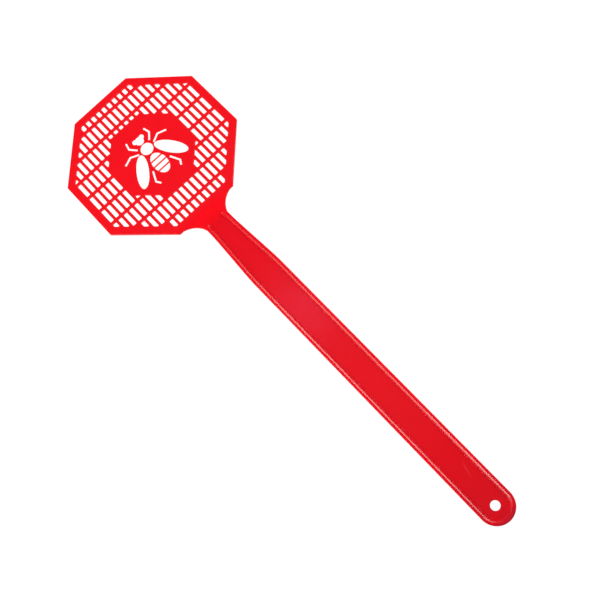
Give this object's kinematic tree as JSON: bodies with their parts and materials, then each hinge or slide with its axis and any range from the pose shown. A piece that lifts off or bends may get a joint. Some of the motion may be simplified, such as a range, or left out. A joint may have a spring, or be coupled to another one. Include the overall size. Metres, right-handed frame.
{
  "type": "fly swatter",
  "caption": "Plastic fly swatter: octagonal grille head with a printed plate, and a flat channel handle with a hang hole.",
  "frame": {"origin": "middle of the overall box, on the surface that the handle lies on", "axes": "+X from the head's tip to the handle's end, +Z out of the printed face, +Y to the right of someone who holds the handle's end and looks at the head"},
  "size_m": [0.4052, 0.1206, 0.0037],
  "materials": {
    "red_plastic": "gloss",
    "white_ink": "satin"
  },
  "bodies": {
    "handle": {"handle_floor": "red_plastic", "left_rail": "red_plastic", "right_rail": "red_plastic", "end_rim": "red_plastic", "neck_ramp": "red_plastic", "left_gusset": "red_plastic", "right_gusset": "red_plastic"},
    "head": {"head_frame": "red_plastic", "grille": "red_plastic", "print_plate": "red_plastic", "printed_fly_body": "white_ink", "printed_fly_wings": "white_ink", "printed_fly_legs": "white_ink"}
  },
  "joints": [
    {"name": "neck_flex", "type": "hinge", "parent": "handle", "child": "head", "pos_m": [-0.0764, 0, 0.0026], "axis": [0, 1, 0], "range_deg": [-30, 30], "stiffness_Nm_per_rad": 1.2, "deforming": ["neck_ramp", "left_gusset", "right_gusset"]}
  ]
}
